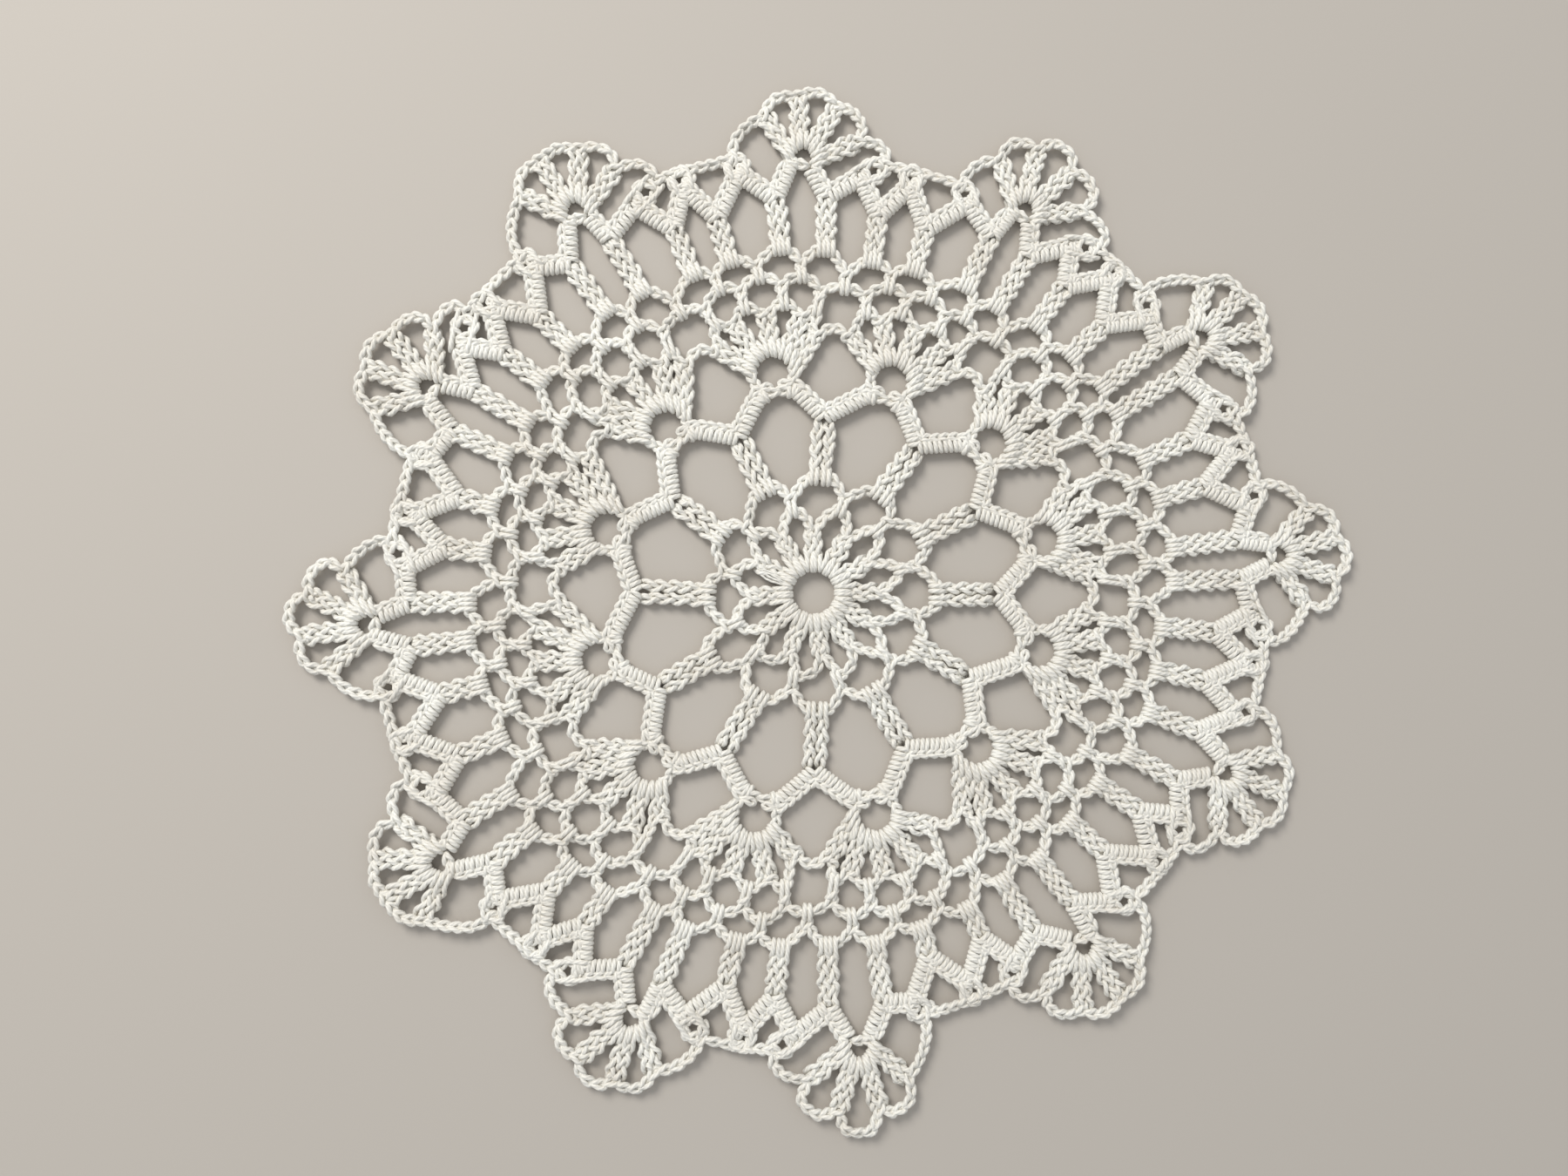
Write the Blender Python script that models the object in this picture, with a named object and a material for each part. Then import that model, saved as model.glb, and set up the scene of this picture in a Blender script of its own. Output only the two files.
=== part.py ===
"""A round crocheted lace doily, lying flat.

Metres, +Z up. The doily is one flat sheet with its gaps cut through. Its origin is the middle of its
bounding box at the surface that it lies on. Twelve repeats run anticlockwise from +X. The chart below
gives where the rounds of the crochet meet, and each gap is the polygon between the middles of its
strands, moved in by half of each strand's width.
"""

import math
from collections import namedtuple

import bpy

MM = 0.001

# Driving dimensions, in millimetres and degrees.
THICKNESS_MM = 1.8
REPEATS = 12
REPEAT_DEG = 360.0 / REPEATS

# Widths of what the thread is worked into.
CHAIN_MM = 1.8
JOIN_MM = 2.2
BAR_MM = 3.3
CORD_MM = 3.1
SPOKE_MM = 3.6
GROUP_MM = 3.0
KNOT_WIDTH_MM = 2.6

# The innermost rounds sit to one side of the rest: by all of ASIDE_MM up to the first of these distances
# from the centre, and by less and less of it up to the second.
ASIDE_MM = (-1.3, 0.1)
ASIDE_REACH_MM = (9.0, 17.0)

# The centre: a small ring, with clusters round it.
CENTRE_HOLE_MM = 3.1
CENTRE_HOLE_POINTS = 12
PETAL_GAP_MM = (7.0, 10.2, 12.5)
PETAL_GAP_HALF_WIDTHS_MM = (0.4, 1.25, 0.8)
PETAL_GAP_LEAN = (0.0, 0.0, 0.25)
CLUSTER_TOP_MM = 9.2
FIRST_LOOP_MM = 12.0
HUB_FOOT_MM = 14.4
WIDE_FOOT_MM = 15.4
HUB_SIDE_DEG = 5.5

# The shell round. The hooks are the stitches that hold the round over it: clockwise end first, by their
# angle from the shell's ring and their distance out from it. The bar over a hook pulls it half-way over.
SHELL_EDGE_DEG = 3.8
SHELL_EDGE_MM = 0.7
SHELL_HOOK_DEG = (-10.0, -4.4, 2.2, 9.0)
SHELL_HOOK_MM = (9.0, 10.4, 10.8, 9.6)
RING_FOOT_DEG = 5.2
RING_SIDE_DEG = 2.6
RING_FOOT_MM = 2.9

# A ring's hole: its half sizes, and its corners as shares of them, across and outwards.
RING_HOLE_HALF_DEG = 3.9
RING_HOLE_HALF_MM = 2.5
RING_HOLE_CORNERS = (
    (1.0, -0.45), (0.6, -1.0), (-0.6, -1.0), (-1.0, -0.45),
    (-0.95, 0.3), (-0.45, 1.0), (0.45, 1.0), (0.95, 0.3),
)

# The net of two looped rounds between the shells and the bars. HOOK_SHARE is how far a stitch that holds
# the first of them reaches, from the shell towards the peaks of the two loops beside it.
HOOK_SHARE = 0.62
LOOP_PEAK_BELOW_NET_MM = (4.7, 3.4, 2.8, 3.1)
NET_HOOK_MM = 1.6
BAR_BASE_MM = (0.7, 1.2, 0.6, 0.4)

# The bars and the knotted arches over them. Bars 1 and 2 of a repeat carry its fan.
BAR_TOP_BELOW_FAN_MM = 6.2
BAR_TOP_BELOW_LINE_MM = {2: 9.0, 3: 8.6}
ARCH_PEAK_BELOW_LINE_MM = 3.0
ARCH_PEAK_TURN_DEG = (0.1, 0.0, -0.7)
LINE_BELOW_EDGE_MM = 0.7
FAN_FOOT_DEG = (9.1, 11.0)

# The fans, in their own frame: angles from the fan's axis and distances from its ring.
FAN_GROUP_DEG = (59.0, 19.0, -19.0, -59.0)
FAN_GROUP_MM = (8.8, 9.6, 9.6, 8.8)
FAN_CROTCH_DEG = (39.0, 0.0, -39.0)
FAN_CROTCH_MM = (5.0, 5.2, 5.0)
FAN_PEAK_DEG = (37.0, 0.0, -40.0)
FAN_PEAK_SHARE = (0.96, 1.0, 1.02)
FAN_SIDE_MM = 11.4
FAN_LOOP_TURN_DEG = 10.0
FAN_LOOP_DROP_MM = 0.3
FAN_RING_SIDE_DEG = 95.0
FAN_RING_SIDE_MM = 1.9
FAN_RING_FOOT_DEG = 180.0
FAN_RING_FOOT_MM = 1.3
ARC_RISE_MM = 4.2
ARC_STEPS = (0.3, 0.6, 0.85)

# How a gap's corners are drawn: one that turns by more than SHARPEST_DEG is cut off, this share of the
# way along its sides. Where the sine of a turn is under NEARLY_STRAIGHT the corner moves straight in.
SHARPEST_DEG = 75.0
CUT_SHARE = 0.22
NEARLY_STRAIGHT = 0.2

# One row for each repeat. petal, knot, spoke, ring, arch, the four bars and fan are degrees from the repeat's
# own start. hub_mm, valley_mm, ring_mm, arch_mm, net_mm, fan_mm and line_mm are distances from the
# centre. lean is how far the fan tips clockwise, in degrees, and fan_long is its length.
Repeat = namedtuple(
    "Repeat",
    "petal knot spoke hub_mm valley_mm ring ring_mm arch arch_mm"
    " bar_1 bar_2 bar_3 bar_4 net_mm fan fan_mm lean fan_long line_mm",
)
UNEVEN = tuple(Repeat(*row) for row in (
    (14, 16, -0.5, 17.7, 27.4, 13.7, 35.2, 0, 42.3, 1.9, 7.4, 15.6, 22.6, 54.3, 4.8, 72, 7, 11.8, 71.3),
    (14.5, 16.5, -0.5, 17.7, 27.4, 11.6, 35, -3, 42.3, 1.3, 6.1, 13.5, 21.4, 53.5, 3.9, 72, 8, 11.5, 70),
    (14, 15, -1, 17.7, 27.4, 11.8, 34.5, -5, 41.3, -1.6, 4.5, 13.9, 21.3, 51.8, 1.9, 68, 3, 12.5, 68),
    (17, 17.5, 1, 17.8, 27.4, 12.5, 34.8, -2.6, 41, -0.8, 6.6, 15.5, 22, 52.6, 2.3, 67.8, 17, 11.2, 69.2),
    (15, 18, -0.5, 18.1, 27.4, 13.2, 34.8, -3, 41.8, 0.8, 7.4, 15.5, 22.9, 53.3, 2.7, 69.8, 16, 10.9, 69.5),
    (17, 17.5, 0, 18, 27.2, 13.4, 34.2, -4.2, 42, -0.2, 6.3, 15.2, 23.1, 51.3, 2.4, 67.5, 9, 11.5, 66),
    (20, 19.5, 0.5, 17.5, 28.6, 16.3, 35.5, -2, 41, 1.3, 7.4, 14.8, 24, 52.8, 3.9, 68.7, 13, 12.3, 68.5),
    (22, 12.5, 0, 19.6, 28.9, 14.8, 36.8, -0.3, 43.3, 2.3, 9, 17.1, 24.2, 55.3, 5, 70, 20, 10.8, 70),
    (21, 13, -2.5, 18.6, 28.7, 13, 35.4, -2.3, 42.8, 1.8, 7.4, 16, 23.1, 53.5, 5.5, 70, 10, 11.8, 70),
    (20.5, 12, -2.7, 17.8, 27.4, 13.5, 34.7, -2.3, 41.2, 0.8, 8.5, 16.3, 24.8, 52.6, 4.5, 69, 5, 13.3, 66.5),
    (17.5, 16.5, -2.5, 17, 27, 15.2, 33.6, -1, 40.3, 2, 9, 17.4, 25.5, 51.3, 6.5, 67.3, 20, 11.4, 68),
    (17, 17, 0.5, 17, 26.4, 15.3, 34.7, 0, 41.5, 2.3, 10, 17.1, 24.4, 52.9, 6, 68.5, 15, 11.5, 70.3),
))


def uneven(number):
    """The row of a repeat, counted round past either end."""
    return UNEVEN[number % REPEATS]


def place(number, degrees, radius):
    """The point at an angle from a repeat's start and a distance from the centre, in millimetres."""
    angle = math.radians(number * REPEAT_DEG + degrees)
    inner, outer = ASIDE_REACH_MM
    share = min(max((outer - radius) / (outer - inner), 0.0), 1.0)
    return radius * math.cos(angle) + share * ASIDE_MM[0], radius * math.sin(angle) + share * ASIDE_MM[1]


def between(a, b, share):
    """The point that lies this share of the way from a to b."""
    return tuple(p + (q - p) * share for p, q in zip(a, b))


def bar_degrees(number, bar):
    """The angle of a bar from the start of the repeat it is counted in, for bars 0 to 3 or past them."""
    turns, index = divmod(bar, 4)
    row = uneven(number + turns)
    return turns * REPEAT_DEG + (row.bar_1, row.bar_2, row.bar_3, row.bar_4)[index]


def bar_base(number, bar):
    """Where a bar stands on the looped net."""
    turns, index = divmod(bar, 4)
    row = uneven(number + turns)
    return place(number, bar_degrees(number, bar), row.net_mm + BAR_BASE_MM[index])


def bar_top(number, bar):
    """Where a bar meets the knotted arches, or the ring of the fan that it carries."""
    turns, index = divmod(bar, 4)
    row = uneven(number + turns)
    if index in BAR_TOP_BELOW_LINE_MM:
        reach = row.line_mm - BAR_TOP_BELOW_LINE_MM[index]
    else:
        reach = row.fan_mm - BAR_TOP_BELOW_FAN_MM
    return place(number, bar_degrees(number, bar), reach)


def hook_degrees(number, hook):
    """The angle of a stitch that holds the first looped round on a shell, counted as the bars are."""
    turns, index = divmod(hook, 4)
    own = turns * REPEAT_DEG + uneven(number + turns).ring + SHELL_HOOK_DEG[index]
    return (own + bar_degrees(number, hook)) / 2


def loop_degrees(number, loop):
    """The angle of a loop's peak in the first looped round: loop n lies between bars n - 1 and n."""
    over = (bar_degrees(number, loop - 1) + bar_degrees(number, loop)) / 2
    under = (hook_degrees(number, loop - 1) + hook_degrees(number, loop)) / 2
    return (over + under) / 2


def loop_peak(number, loop, height=0.0):
    """The peak of a loop of the first looped round, or a point this much further out."""
    turns, index = divmod(loop, 4)
    reach = uneven(number + turns).net_mm
    if index == 0:
        reach = (reach + uneven(number + turns - 1).net_mm) / 2
    return place(number, loop_degrees(number, loop), reach - LOOP_PEAK_BELOW_NET_MM[index] + height)


def shell_hook(number, hook):
    """The foot of a stitch of the first looped round on a shell: hooks 0 to 3, clockwise end first."""
    turns, index = divmod(hook, 4)
    reach = uneven(number + turns).ring_mm + SHELL_HOOK_MM[index]
    return place(number, hook_degrees(number, hook), reach)


def hook_top(number, hook):
    """The top of that stitch, where the two loops beside it meet."""
    peaks = between(loop_peak(number, hook), loop_peak(number, hook + 1), 0.5)
    return between(shell_hook(number, hook), peaks, HOOK_SHARE)


def shell_edge(number, side):
    """The shell's outer corner beside the arch over spoke number: side is 1 anticlockwise of the arch."""
    row = uneven(number)
    return place(number, row.arch + side * SHELL_EDGE_DEG, row.arch_mm - SHELL_EDGE_MM)


def valley(number):
    """Where the two thick cords meet on a spoke."""
    row = uneven(number)
    return place(number, (row.spoke + row.arch) / 2, row.valley_mm)


def ring_foot(number, side):
    """Where a thick cord reaches the foot of a shell's ring."""
    row = uneven(number)
    return place(number, row.ring + side * RING_FOOT_DEG, row.ring_mm - RING_FOOT_MM)


def ring_side(number, side):
    """Where the middle of a shell's outermost group would meet that of the cord below it."""
    row = uneven(number)
    return place(number, row.ring + side * RING_SIDE_DEG, row.ring_mm)


def arch_peak(number, arch):
    """The peak of a knotted arch: arches 0 to 2 stand between bars 1 and 2, 2 and 3, 3 and 4."""
    degrees = (bar_degrees(number, arch + 1) + bar_degrees(number, arch + 2)) / 2 + ARCH_PEAK_TURN_DEG[arch]
    return place(number, degrees, uneven(number).line_mm - ARCH_PEAK_BELOW_LINE_MM)


def knot(number, arch):
    """The knot over an arch: those beside a fan lean away from it."""
    row = uneven(number)
    reach = row.line_mm - LINE_BELOW_EDGE_MM
    if arch == 0:
        return place(number, row.fan + FAN_FOOT_DEG[0], reach)
    if arch == 1:
        return place(number, (row.bar_3 + row.bar_4) / 2, reach)
    return place(number + 1, uneven(number + 1).fan - FAN_FOOT_DEG[1], reach)


def fan_point(number, degrees, distance):
    """A point of a fan, by its angle from the fan's axis and its distance from the fan's ring."""
    row = uneven(number)
    x, y = place(number, row.fan, row.fan_mm)
    angle = math.radians(number * REPEAT_DEG + row.fan - row.lean + degrees)
    return x + distance * math.cos(angle), y + distance * math.sin(angle)


def fan_tip(number, group):
    """The outer end of one of a fan's four groups, anticlockwise side first."""
    return fan_point(number, FAN_GROUP_DEG[group], FAN_GROUP_MM[group])


def fan_loop(number, loop):
    """The three points of a fan's loop, from the tip on its anticlockwise side to the other."""
    length = uneven(number).fan_long
    if loop != 1:
        length = (length + FAN_SIDE_MM) / 2
    reach = (length - CHAIN_MM / 2) * FAN_PEAK_SHARE[loop]
    middle = FAN_PEAK_DEG[loop]
    return [
        fan_point(number, middle + FAN_LOOP_TURN_DEG, reach - FAN_LOOP_DROP_MM),
        fan_point(number, middle, reach),
        fan_point(number, middle - FAN_LOOP_TURN_DEG, reach - FAN_LOOP_DROP_MM),
    ]


def side_arc(number, side):
    """The points of the arc from a fan's outer tip to the knot beside it; side 1 is anticlockwise."""
    tip = fan_tip(number, 0 if side > 0 else 3)
    foot = knot(number, 0) if side > 0 else knot(number - 1, 2)
    corner = between((0.0, 0.0), foot, 1 + ARC_RISE_MM / math.hypot(*foot))
    return [between(between(tip, corner, step), between(corner, foot, step), step) for step in ARC_STEPS]


def area(points):
    """The signed area: positive for a polygon that runs anticlockwise."""
    ends = zip(points, points[1:] + points[:1])
    return sum(a[0] * b[1] - a[1] * b[0] for a, b in ends) / 2


def moved_in(corners, outwards=False):
    """The polygon whose every side is moved in by half the width of its strand.

    corners holds (point, width), where the width is that of the side from this point to the next.
    """
    points = [point for point, _ in corners]
    widths = [width for _, width in corners]
    if area(points) < 0:
        points = points[::-1]
        widths = widths[-2::-1] + widths[-1:]
    count = len(points)
    sign = -1 if outwards else 1
    lines = []
    for index in range(count):
        (x0, y0), (x1, y1) = points[index], points[(index + 1) % count]
        length = math.hypot(x1 - x0, y1 - y0)
        normal = (-(y1 - y0) / length, (x1 - x0) / length)
        offset = sign * widths[index] / 2
        lines.append((normal, x0 * normal[0] + y0 * normal[1] + offset))
    result = []
    for index in range(count):
        (a, b), c = lines[index - 1]
        (d, e), f = lines[index]
        cross = a * e - b * d
        x, y = points[index]
        if abs(cross) < NEARLY_STRAIGHT:
            shift = (c - (a * x + b * y) + f - (d * x + e * y)) / 2
            middle = math.hypot(a + d, b + e)
            result.append((x + shift * (a + d) / middle, y + shift * (b + e) / middle))
        else:
            result.append(((c * e - b * f) / cross, (a * f - c * d) / cross))
    return result


def blunted(points):
    """The polygon with its sharp corners cut off."""
    result = []
    count = len(points)
    for index, point in enumerate(points):
        before, after = points[index - 1], points[(index + 1) % count]
        turn_in = math.atan2(point[1] - before[1], point[0] - before[0])
        turn_out = math.atan2(after[1] - point[1], after[0] - point[0])
        turn = abs((math.degrees(turn_out - turn_in) + 180) % 360 - 180)
        if turn > SHARPEST_DEG:
            result += [between(point, before, CUT_SHARE), between(point, after, CUT_SHARE)]
        else:
            result.append(point)
    return result


def centre_gap():
    """The round hole in the middle."""
    step = 360.0 / CENTRE_HOLE_POINTS
    return [place(0, index * step, CENTRE_HOLE_MM) for index in range(CENTRE_HOLE_POINTS)]


def petal_gap(number):
    """The narrow gap between two clusters of the first round: its outer end leans towards the knot."""
    row = uneven(number)
    left, right = [], []
    for radius, half, lean in zip(PETAL_GAP_MM, PETAL_GAP_HALF_WIDTHS_MM, PETAL_GAP_LEAN):
        middle = row.petal + (row.knot - row.petal) * lean
        turn = math.degrees(half / radius)
        left.append(place(number, middle + turn, radius))
        right.append(place(number, middle - turn, radius))
    return right + left[::-1]


def cluster_degrees(number):
    """The angle of the cluster that stands between two petals."""
    return (uneven(number - 1).petal - REPEAT_DEG + uneven(number).petal) / 2


def hub_gap(number):
    """The gap under a loop of the second round, which carries a spoke."""
    row = uneven(number)
    before = uneven(number - 1)
    right = before.knot - REPEAT_DEG
    cluster = cluster_degrees(number)
    return moved_in([
        (place(number, cluster, CLUSTER_TOP_MM), CHAIN_MM),
        (place(number, (cluster + row.petal) / 2, FIRST_LOOP_MM), CHAIN_MM),
        (place(number, row.knot, HUB_FOOT_MM), CHAIN_MM),
        (place(number, row.spoke + HUB_SIDE_DEG, row.hub_mm), CHAIN_MM),
        (place(number, row.spoke - HUB_SIDE_DEG, row.hub_mm), CHAIN_MM),
        (place(number, right, HUB_FOOT_MM), CHAIN_MM),
        (place(number, (cluster + before.petal - REPEAT_DEG) / 2, FIRST_LOOP_MM), CHAIN_MM),
    ])


def wide_gap(number):
    """The large gap between two spokes, under a shell's ring."""
    row = uneven(number)
    after = uneven(number + 1)
    return moved_in([
        (place(number, row.spoke, row.hub_mm), CHAIN_MM),
        (place(number, row.knot, WIDE_FOOT_MM), CHAIN_MM),
        (place(number + 1, after.spoke, after.hub_mm), SPOKE_MM),
        (valley(number + 1), CORD_MM),
        (ring_foot(number, 1), CORD_MM),
        (ring_foot(number, -1), CORD_MM),
        (valley(number), SPOKE_MM),
    ])


def ring_gap(number):
    """The hole of a shell's ring: flat below and round above."""
    row = uneven(number)
    return [
        place(number, row.ring + across * RING_HOLE_HALF_DEG, row.ring_mm + out * RING_HOLE_HALF_MM)
        for across, out in RING_HOLE_CORNERS
    ]


def shell_gap(number):
    """The gap between two shells, over a spoke and under an arch."""
    row = uneven(number)
    return moved_in([
        (valley(number), CORD_MM),
        (ring_side(number, -1), GROUP_MM),
        (shell_edge(number, 1), CHAIN_MM),
        (place(number, row.arch, row.arch_mm), CHAIN_MM),
        (shell_edge(number, -1), GROUP_MM),
        (ring_side(number - 1, 1), CORD_MM),
    ])


def arch_gap(number):
    """The gap over the arch between two shells."""
    row = uneven(number)
    return moved_in([
        (place(number, row.arch, row.arch_mm), CHAIN_MM),
        (shell_edge(number, 1), CHAIN_MM),
        (shell_hook(number, 0), JOIN_MM),
        (hook_top(number, 0), CHAIN_MM),
        (loop_peak(number, 0), CHAIN_MM),
        (hook_top(number, -1), JOIN_MM),
        (shell_hook(number, -1), CHAIN_MM),
        (shell_edge(number, -1), CHAIN_MM),
    ])


def loop_gap(number, loop):
    """A gap of the first looped round over a shell, for loops 1 to 3."""
    return moved_in([
        (shell_hook(number, loop - 1), CHAIN_MM),
        (shell_hook(number, loop), JOIN_MM),
        (hook_top(number, loop), CHAIN_MM),
        (loop_peak(number, loop), CHAIN_MM),
        (hook_top(number, loop - 1), JOIN_MM),
    ])


def net_gap(number, bar):
    """A gap of the second looped round, under a bar's foot."""
    return moved_in([
        (hook_top(number, bar), CHAIN_MM),
        (loop_peak(number, bar + 1), JOIN_MM),
        (loop_peak(number, bar + 1, NET_HOOK_MM), CHAIN_MM),
        (bar_base(number, bar), CHAIN_MM),
        (loop_peak(number, bar, NET_HOOK_MM), JOIN_MM),
        (loop_peak(number, bar), CHAIN_MM),
    ])


def bar_gap(number, bar):
    """The tall gap between a bar and the one after it."""
    if bar:
        peak = arch_peak(number, bar - 1)
    else:
        peak = fan_point(number, FAN_RING_FOOT_DEG, FAN_RING_FOOT_MM)
    return moved_in([
        (bar_base(number, bar), CHAIN_MM),
        (loop_peak(number, bar + 1, NET_HOOK_MM), CHAIN_MM),
        (bar_base(number, bar + 1), BAR_MM),
        (bar_top(number, bar + 1), CORD_MM),
        (peak, CORD_MM),
        (bar_top(number, bar), BAR_MM),
    ])


def side_gap(number, side):
    """The gap between a fan and the arch beside it; side 1 is anticlockwise."""
    if side > 0:
        tip, foot = fan_tip(number, 0), knot(number, 0)
        peak, top = arch_peak(number, 0), bar_top(number, 1)
    else:
        tip, foot = fan_tip(number, 3), knot(number - 1, 2)
        peak, top = arch_peak(number - 1, 2), bar_top(number, 0)
    corners = [(fan_point(number, side * FAN_RING_SIDE_DEG, FAN_RING_SIDE_MM), GROUP_MM)]
    corners += [(point, CHAIN_MM) for point in [tip] + side_arc(number, side)]
    corners += [(foot, JOIN_MM), (peak, CORD_MM), (top, CORD_MM)]
    return moved_in(corners)


def knot_gap(number, side):
    """The small gap over a bar, between two knots; side 0 is over bar 3 and side 1 over bar 4."""
    return moved_in([
        (arch_peak(number, side), KNOT_WIDTH_MM),
        (knot(number, side), CHAIN_MM),
        (knot(number, side + 1), KNOT_WIDTH_MM),
        (arch_peak(number, side + 1), CORD_MM),
        (bar_top(number, side + 2), CORD_MM),
    ])


def fan_gap(number, loop):
    """The gap under one of a fan's three loops."""
    corners = [(fan_point(number, FAN_CROTCH_DEG[loop], FAN_CROTCH_MM[loop]), GROUP_MM / 2)]
    corners.append((fan_tip(number, loop), CHAIN_MM))
    corners += [(point, CHAIN_MM) for point in fan_loop(number, loop)]
    corners.append((fan_tip(number, loop + 1), GROUP_MM / 2))
    return moved_in(corners)


def gaps():
    """Every gap, the centre's first."""
    found = [centre_gap()]
    for number in range(REPEATS):
        found += [petal_gap(number), hub_gap(number), blunted(wide_gap(number)), ring_gap(number)]
        found += [blunted(shell_gap(number)), arch_gap(number)]
        found += [loop_gap(number, loop) for loop in (1, 2, 3)]
        found += [net_gap(number, bar) for bar in range(4)]
        found += [bar_gap(number, bar) for bar in range(4)]
        found += [side_gap(number, 1), side_gap(number, -1)]
        found += [knot_gap(number, 0), knot_gap(number, 1)]
        found += [fan_gap(number, loop) for loop in range(3)]
    return found


def outline():
    """The outer edge, anticlockwise."""
    points = []
    for number in range(REPEATS):
        points += [knot(number - 1, 2)]
        points += side_arc(number, -1)[::-1]
        points += [fan_tip(number, 3)]
        for loop in (2, 1, 0):
            points += fan_loop(number, loop)[::-1]
            points += [fan_tip(number, loop)]
        points += side_arc(number, 1)
        points += [knot(number, 0), knot(number, 1)]
    return moved_in([(point, CHAIN_MM) for point in points], outwards=True)


def bounds_middle(points):
    """The middle of the box round these points."""
    xs = [point[0] for point in points]
    ys = [point[1] for point in points]
    return (min(xs) + max(xs)) / 2, (min(ys) + max(ys)) / 2


def add_spline(curve, points, middle):
    """Adds a closed polygon to the curve, shifted so that middle is the origin."""
    spline = curve.splines.new("POLY")
    spline.points.add(len(points) - 1)
    for target, (x, y) in zip(spline.points, points):
        target.co = ((x - middle[0]) * MM, (y - middle[1]) * MM, 0.0, 1.0)
    spline.use_cyclic_u = True


def cotton():
    """Off-white cotton."""
    material = bpy.data.materials.new("cotton")
    material.use_nodes = True
    shader = material.node_tree.nodes["Principled BSDF"]
    shader.inputs["Base Color"].default_value = (0.76, 0.71, 0.62, 1.0)
    shader.inputs["Roughness"].default_value = 0.9
    shader.inputs["Metallic"].default_value = 0.0
    return material


def main():
    """Builds the doily in a collection of its own."""
    for old in list(bpy.data.objects):
        bpy.data.objects.remove(old)
    collection = bpy.data.collections.new("lace_doily")
    bpy.context.scene.collection.children.link(collection)
    curve = bpy.data.curves.new("doily", "CURVE")
    curve.dimensions = "2D"
    curve.fill_mode = "BOTH"
    curve.extrude = THICKNESS_MM * MM / 2
    edge = outline()
    middle = bounds_middle(edge)
    add_spline(curve, edge, middle)
    for gap in gaps():
        add_spline(curve, gap, middle)
    curve.materials.append(cotton())
    doily = bpy.data.objects.new("doily", curve)
    doily.location.z = THICKNESS_MM * MM / 2
    collection.objects.link(doily)


main()
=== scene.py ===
"""The looks of a round crocheted lace doily: every stitch is a real path of one cotton thread.

The chart of the doily is in millimetres and degrees, from the middle of its centre ring. Twelve repeats
run anticlockwise from +X. Each round of the crochet is one piece. Its chains, single crochets and tall
stitches are worked out along flat tracks through the chart's points, as paths of the thread's own
centre line, and each path is then swept into a tube.
"""

import math
from collections import namedtuple

import bpy
import numpy as np
from mathutils import Matrix, Vector


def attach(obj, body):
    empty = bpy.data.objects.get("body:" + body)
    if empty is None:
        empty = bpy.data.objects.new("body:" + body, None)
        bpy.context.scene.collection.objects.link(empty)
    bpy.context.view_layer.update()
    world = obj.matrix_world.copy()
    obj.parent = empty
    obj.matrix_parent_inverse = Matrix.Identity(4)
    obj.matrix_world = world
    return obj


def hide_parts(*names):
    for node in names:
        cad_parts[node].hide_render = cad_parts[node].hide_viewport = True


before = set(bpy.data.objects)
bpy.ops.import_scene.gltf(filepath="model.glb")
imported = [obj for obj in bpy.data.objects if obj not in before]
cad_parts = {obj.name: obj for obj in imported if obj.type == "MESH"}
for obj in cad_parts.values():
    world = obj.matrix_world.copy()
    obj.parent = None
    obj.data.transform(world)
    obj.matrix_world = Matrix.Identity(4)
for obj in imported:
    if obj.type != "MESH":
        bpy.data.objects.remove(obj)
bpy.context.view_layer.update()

MM = 0.001

# The thread.
THREAD_MM = 0.80
PLY_MM = 0.34
THREAD_SIDES = 6
THREAD_STEP_MM = 1.2
TWIST_PITCH_MM = 1.0
PLIES = 3

# The height of the middle of the stitches, and how far the doily lifts off the surface here and there.
MIDDLE_UP_MM = 1.0
LIFT_MM = 0.25

# A chain stitch, as (along, across, up) in shares of its pitch, its half width and the thread. The loop
# comes up behind the one before it, runs forward, turns and goes back, and dips under to the next.
CHAIN_PITCH_MM = 1.75
CHAIN_HALF_MM = 0.58
CHAIN_PATH = (
    (0.12, 0.00, -0.25), (0.34, -0.22, 0.15), (0.72, -0.56, 0.44), (1.14, -1.06, 0.22), (1.44, -0.62, -0.08),
    (1.50, 0.00, -0.12), (1.34, 0.64, -0.08), (0.98, 1.06, 0.22), (0.62, 0.58, 0.44), (0.34, 0.22, 0.10),
    (0.58, 0.08, -0.25),
)
CHAIN_ROLL_DEG = 30.0
CHAIN_ROLL_MM = 13.0

# Single crochets over a chain: a row of ridges round it, and a braid of their heads on the outer edge.
RIDGE_PITCH_MM = 0.75
RIDGE_MIDDLE_MM = -0.38
RIDGE_HALF_MM = 0.84
RIDGE_UP_MM = 0.56
RIDGE_POINTS = 8
RIDGE_PULL_MM = 0.07
HEAD_PITCH_MM = 1.5
HEAD_HALF_MM = 0.46
HEAD_ACROSS_MM = 0.82
HEAD_UP_MM = 0.15

# A tall stitch: two legs that wrap what they are worked into, tied by slanting turns of the thread.
LEG_APART_MM = 0.38
WRAP_IN_MM = 0.95
WRAP_UP_MM = 0.74
PLAIT_FROM_MM = 1.5
PLAIT_BUMP_MM = 2.2
PLAIT_STEP_MM = 0.5
PLAIT_HALF_MM = 0.63
PLAIT_KNOB = 0.14
PLAIT_ROUGH_MM = 0.07
PLAIT_UP_MM = 0.38
TIE_PATH = (
    (0.35, -0.20, -0.50), (-0.25, 0.46, -0.42), (-0.62, 0.70, 0.02), (-0.42, 0.46, 0.48), (0.02, 0.0, 0.68),
    (0.48, -0.46, 0.48), (0.65, -0.70, 0.02), (0.40, -0.42, -0.44), (0.00, 0.22, -0.52),
)
POST_APART_MM = 1.42

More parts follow.
